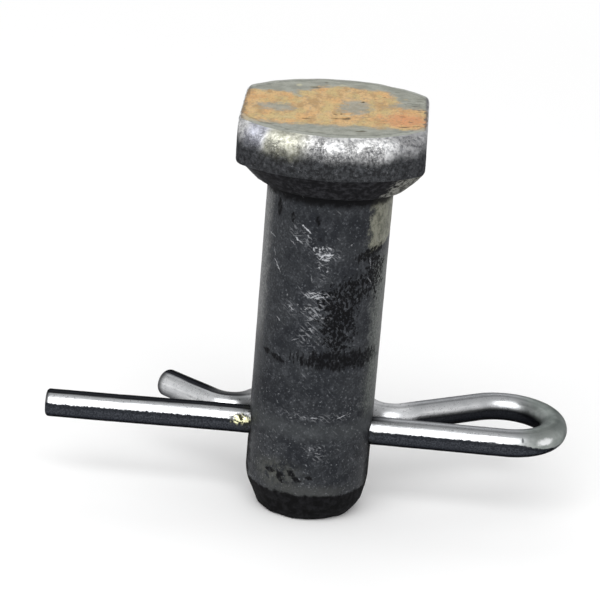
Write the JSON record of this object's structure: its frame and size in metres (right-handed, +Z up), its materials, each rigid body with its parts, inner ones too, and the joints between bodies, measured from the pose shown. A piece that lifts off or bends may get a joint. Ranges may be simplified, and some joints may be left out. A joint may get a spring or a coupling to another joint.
{
  "type": "brake pedal clevis pin",
  "caption": "Steel clevis pin with a flat-sided round head and a wire spring clip through its cross hole, as used to hang a brake pedal.",
  "frame": {"origin": "centre of the flat end of the pin's nose, which the pin stands on", "axes": "+Z up the pin's axis to its head, +X along the clip's straight leg towards its loop, +Y to the side where the clip's bent leg passes behind the shank"},
  "size_m": [0.0542, 0.0244, 0.0428],
  "materials": {
    "forged_steel": "satin, dark and handled, with light rust on the head",
    "spring_wire": "bright zinc, lightly scuffed"
  },
  "bodies": {
    "pin": {"clevis_pin": "forged_steel"},
    "clip": {"spring_clip": "spring_wire"}
  },
  "joints": [
    {"name": "clip_pull", "type": "slide", "parent": "pin", "child": "clip", "axis": [1, 0, 0], "range_m": [0, 0.036], "deforming": ["spring_clip"]}
  ]
}
